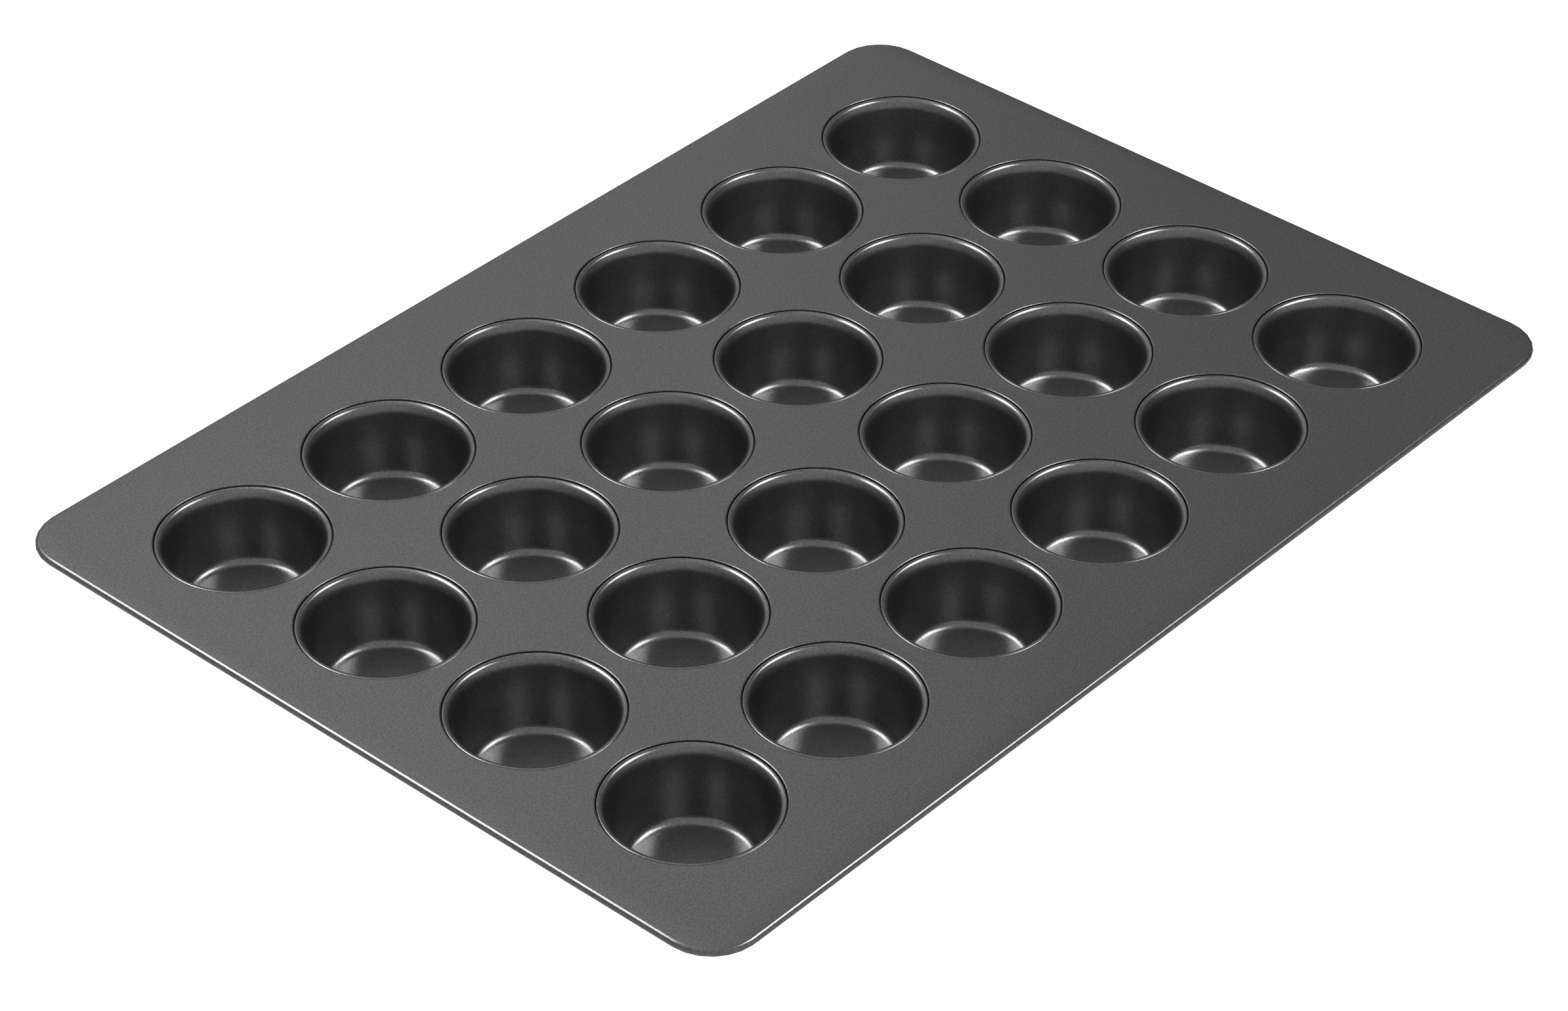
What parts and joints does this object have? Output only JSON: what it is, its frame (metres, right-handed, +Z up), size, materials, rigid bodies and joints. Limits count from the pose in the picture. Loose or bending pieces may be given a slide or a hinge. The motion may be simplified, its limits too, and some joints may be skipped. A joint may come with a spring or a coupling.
{
  "type": "muffin tin",
  "caption": "Flat coated-steel baking pan with rounded corners, a wire-rolled rim and rows of drawn round cups seamed into its plate.",
  "frame": {"origin": "centre of the footprint, on the surface that the cup bottoms stand on", "axes": "+X along the plate's length (the long rows of cups), +Y across it, +Z up out of the cups"},
  "size_m": [0.518, 0.372, 0.0319],
  "materials": {
    "plate_coating": "satin dark-grey non-stick coating with a fine orange peel",
    "cup_coating": "semi-gloss dark-grey non-stick coating over drawn steel",
    "wire_steel": "plain drawn steel wire"
  },
  "bodies": {
    "root": {"pan_plate": "plate_coating", "rim_wire": "wire_steel", "cup_1_1": "cup_coating", "cup_1_2": "cup_coating", "cup_1_3": "cup_coating", "cup_1_4": "cup_coating", "cup_1_5": "cup_coating", "cup_1_6": "cup_coating", "cup_2_1": "cup_coating", "cup_2_2": "cup_coating", "cup_2_3": "cup_coating", "cup_2_4": "cup_coating", "cup_2_5": "cup_coating", "cup_2_6": "cup_coating", "cup_3_1": "cup_coating", "cup_3_2": "cup_coating", "cup_3_3": "cup_coating", "cup_3_4": "cup_coating", "cup_3_5": "cup_coating", "cup_3_6": "cup_coating", "cup_4_1": "cup_coating", "cup_4_2": "cup_coating", "cup_4_3": "cup_coating", "cup_4_4": "cup_coating", "cup_4_5": "cup_coating", "cup_4_6": "cup_coating"}
  },
  "joints": []
}
